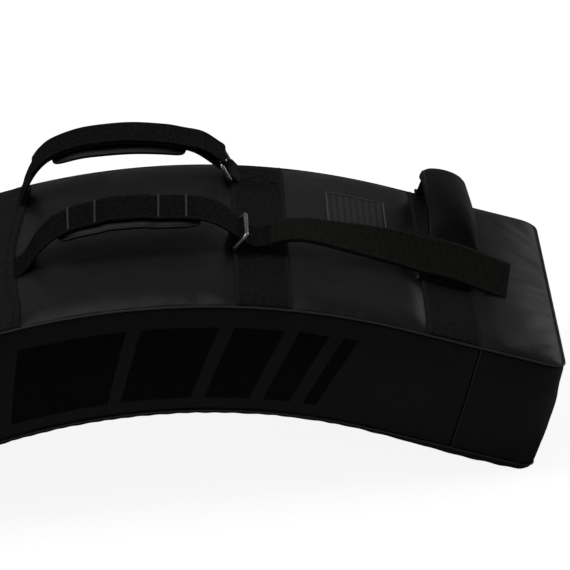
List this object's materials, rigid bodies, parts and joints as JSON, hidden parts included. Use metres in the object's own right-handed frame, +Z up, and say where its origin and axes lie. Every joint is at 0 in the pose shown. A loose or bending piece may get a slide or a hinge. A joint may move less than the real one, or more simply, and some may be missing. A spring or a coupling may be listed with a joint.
{
  "type": "curved kick shield",
  "caption": "Curved padded kick shield with forearm straps on metal rings, padded grips and a carry handle across each end.",
  "frame": {"origin": "centre of the rectangle that the shield stands on, at the height of its two lower edges", "axes": "+X along the shield's length, +Y across it towards the forearm strap that is done up, +Z up out of the handle side at the crest"},
  "size_m": [0.728, 0.344, 0.2346],
  "materials": {
    "vinyl": "satin",
    "webbing": "matte",
    "foam": "matte",
    "steel": "polished",
    "print": "satin"
  },
  "bodies": {
    "shield": {"back_panel": "vinyl", "strike_panel": "vinyl", "front_side_panel": "vinyl", "rear_side_panel": "vinyl", "left_end_panel": "vinyl", "right_end_panel": "vinyl", "foam_strike_layer": "foam", "foam_core_layer": "foam", "foam_back_layer": "foam", "left_inner_band": "webbing", "right_inner_band": "webbing", "left_outer_band": "webbing", "right_outer_band": "webbing", "front_strap_base": "webbing", "front_strap_end": "webbing", "front_ring_keeper": "webbing", "rear_strap_base": "webbing", "rear_ring_keeper": "webbing", "right_end_handle_rear_foot": "webbing", "right_end_handle_front_foot": "webbing", "left_end_handle_rear_foot": "webbing", "left_end_handle_front_foot": "webbing", "label_patch": "print"},
    "front_handle": {"front_strap": "webbing", "front_grip": "vinyl"},
    "front_ring": {"front_ring": "steel"},
    "front_tail": {"front_tail": "webbing"},
    "rear_handle": {"rear_strap": "webbing", "rear_strap_return": "webbing", "rear_grip": "vinyl"},
    "rear_ring": {"rear_ring": "steel", "rear_strap_fold": "webbing"},
    "rear_tail": {"rear_tail": "webbing"},
    "right_end_handle": {"right_end_handle_strap": "webbing", "right_end_handle_sleeve": "vinyl"},
    "left_end_handle": {"left_end_handle_strap": "webbing", "left_end_handle_sleeve": "vinyl"}
  },
  "joints": [
    {"name": "front_handle_sway", "type": "hinge", "parent": "shield", "child": "front_handle", "pos_m": [0, -0.036, 0.193], "axis": [1, 0, 0], "range_deg": [-25, 25]},
    {"name": "front_ring_tilt", "type": "hinge", "parent": "shield", "child": "front_ring", "pos_m": [0.09167, -0.036, 0.18567], "axis": [0, -1, 0], "range_deg": [-8, 30]},
    {"name": "front_tail_lift", "type": "hinge", "parent": "shield", "child": "front_tail", "pos_m": [0.10615, -0.036, 0.18835], "axis": [0, -1, 0], "range_deg": [0, 95]},
    {"name": "rear_handle_sway", "type": "hinge", "parent": "shield", "child": "rear_handle", "pos_m": [0, 0.133, 0.197], "axis": [1, 0, 0], "range_deg": [-25, 25]},
    {"name": "rear_ring_tilt", "type": "hinge", "parent": "shield", "child": "rear_ring", "pos_m": [0.09167, 0.133, 0.18567], "axis": [0, -1, 0], "range_deg": [-4, 4]},
    {"name": "rear_tail_peel", "type": "hinge", "parent": "rear_handle", "child": "rear_tail", "pos_m": [0.04815, 0.133, 0.2261], "axis": [0, 1, 0], "range_deg": [0, 120]},
    {"name": "right_end_handle_sway", "type": "hinge", "parent": "shield", "child": "right_end_handle", "pos_m": [0.2749, 0.05, 0.1348], "axis": [0, 1, 0], "range_deg": [-25, 25]},
    {"name": "left_end_handle_sway", "type": "hinge", "parent": "shield", "child": "left_end_handle", "pos_m": [-0.2749, 0.05, 0.1348], "axis": [0, 1, 0], "range_deg": [-25, 25]}
  ]
}
